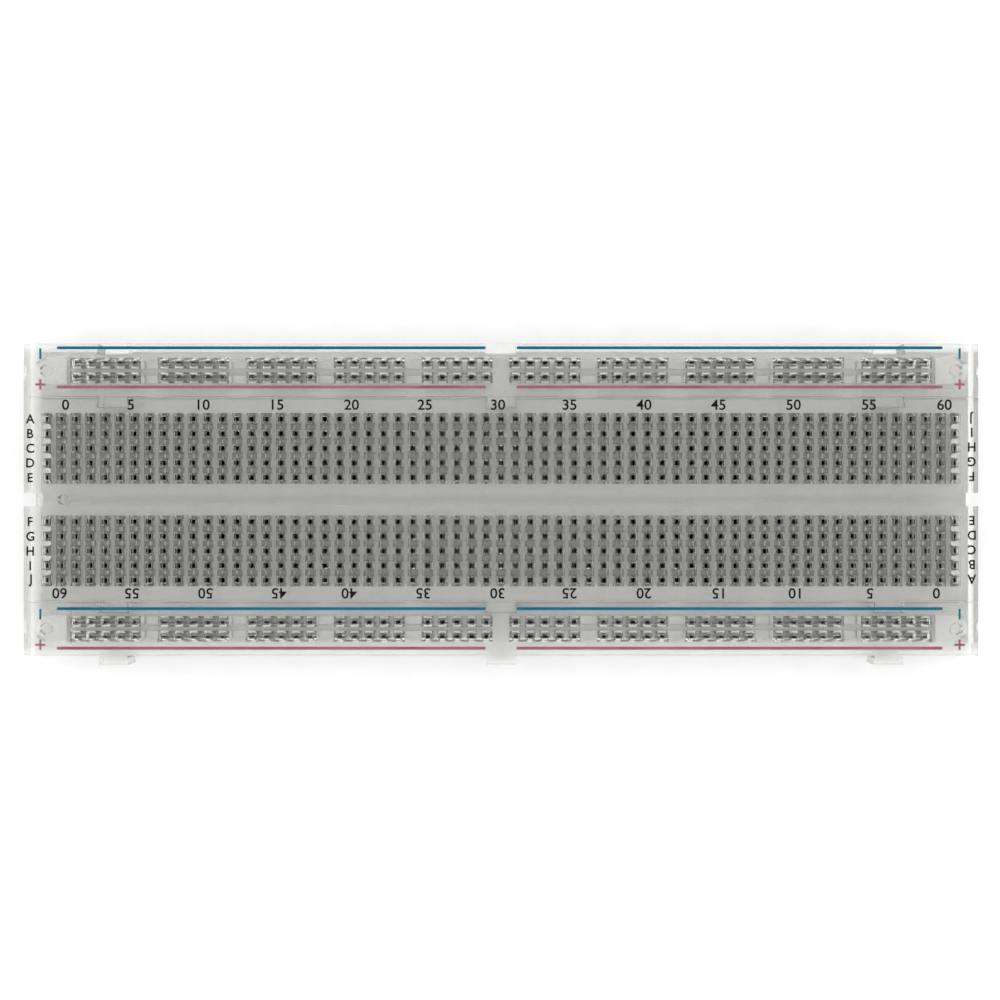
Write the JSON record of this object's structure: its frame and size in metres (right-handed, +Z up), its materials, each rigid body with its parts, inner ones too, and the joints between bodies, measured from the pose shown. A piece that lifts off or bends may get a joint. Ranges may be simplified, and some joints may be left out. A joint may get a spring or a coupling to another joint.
{
  "type": "solderless breadboard",
  "caption": "Flat clear plastic prototyping board with a grid of spring contact holes, a centre channel and two power rail strips that lift off.",
  "frame": {"origin": "under the middle of the terminal strip, on the surface that the board lies on", "axes": "+X along the column numbers, +Y towards the upper bus strip, +Z up out of the contact face"},
  "size_m": [0.165, 0.0557, 0.0095],
  "materials": {
    "clear_plastic": "clear injection-moulded plastic, smooth and glossy",
    "spring_metal": "tin-plated spring sheet, satin",
    "adhesive_foam": "grey closed-cell foam, double-sided adhesive",
    "liner_paper": "waxed release paper, satin"
  },
  "bodies": {
    "upper_bus": {"upper_bus_housing": "clear_plastic", "upper_bus_foam": "adhesive_foam", "upper_bus_liner": "liner_paper", "upper_bus_minus_clip_left": "spring_metal", "upper_bus_minus_clip_right": "spring_metal", "upper_bus_plus_clip_left": "spring_metal", "upper_bus_plus_clip_right": "spring_metal"},
    "terminal_strip": {"terminal_housing": "clear_plastic", "terminal_foam": "adhesive_foam", "terminal_liner": "liner_paper", "clips_ae_columns_00_02": "spring_metal", "clips_ae_columns_03_05": "spring_metal", "clips_ae_columns_06_08": "spring_metal", "clips_ae_columns_09_11": "spring_metal", "clips_ae_columns_12_14": "spring_metal", "clips_ae_columns_15_17": "spring_metal", "clips_ae_columns_18_20": "spring_metal", "clips_ae_columns_21_23": "spring_metal", "clips_ae_columns_24_26": "spring_metal", "clips_ae_columns_27_29": "spring_metal", "clips_ae_columns_30_32": "spring_metal", "clips_ae_columns_33_35": "spring_metal", "clips_ae_columns_36_38": "spring_metal", "clips_ae_columns_39_41": "spring_metal", "clips_ae_columns_42_44": "spring_metal", "clips_ae_columns_45_47": "spring_metal", "clips_ae_columns_48_50": "spring_metal", "clips_ae_columns_51_53": "spring_metal", "clips_ae_columns_54_56": "spring_metal", "clips_ae_columns_57_59": "spring_metal", "clips_ae_columns_60_62": "spring_metal", "clips_fj_columns_00_02": "spring_metal", "clips_fj_columns_03_05": "spring_metal", "clips_fj_columns_06_08": "spring_metal", "clips_fj_columns_09_11": "spring_metal", "clips_fj_columns_12_14": "spring_metal", "clips_fj_columns_15_17": "spring_metal", "clips_fj_columns_18_20": "spring_metal", "clips_fj_columns_21_23": "spring_metal", "clips_fj_columns_24_26": "spring_metal", "clips_fj_columns_27_29": "spring_metal", "clips_fj_columns_30_32": "spring_metal", "clips_fj_columns_33_35": "spring_metal", "clips_fj_columns_36_38": "spring_metal", "clips_fj_columns_39_41": "spring_metal", "clips_fj_columns_42_44": "spring_metal", "clips_fj_columns_45_47": "spring_metal", "clips_fj_columns_48_50": "spring_metal", "clips_fj_columns_51_53": "spring_metal", "clips_fj_columns_54_56": "spring_metal", "clips_fj_columns_57_59": "spring_metal", "clips_fj_columns_60_62": "spring_metal"},
    "lower_bus": {"lower_bus_housing": "clear_plastic", "lower_bus_foam": "adhesive_foam", "lower_bus_liner": "liner_paper", "lower_bus_minus_clip_left": "spring_metal", "lower_bus_minus_clip_right": "spring_metal", "lower_bus_plus_clip_left": "spring_metal", "lower_bus_plus_clip_right": "spring_metal"}
  },
  "joints": [
    {"name": "terminal_strip_lift", "type": "slide", "parent": "upper_bus", "child": "terminal_strip", "axis": [0, 0, 1], "range_m": [0, 0.012]},
    {"name": "lower_bus_lift", "type": "slide", "parent": "terminal_strip", "child": "lower_bus", "axis": [0, 0, 1], "range_m": [0, 0.012]}
  ]
}
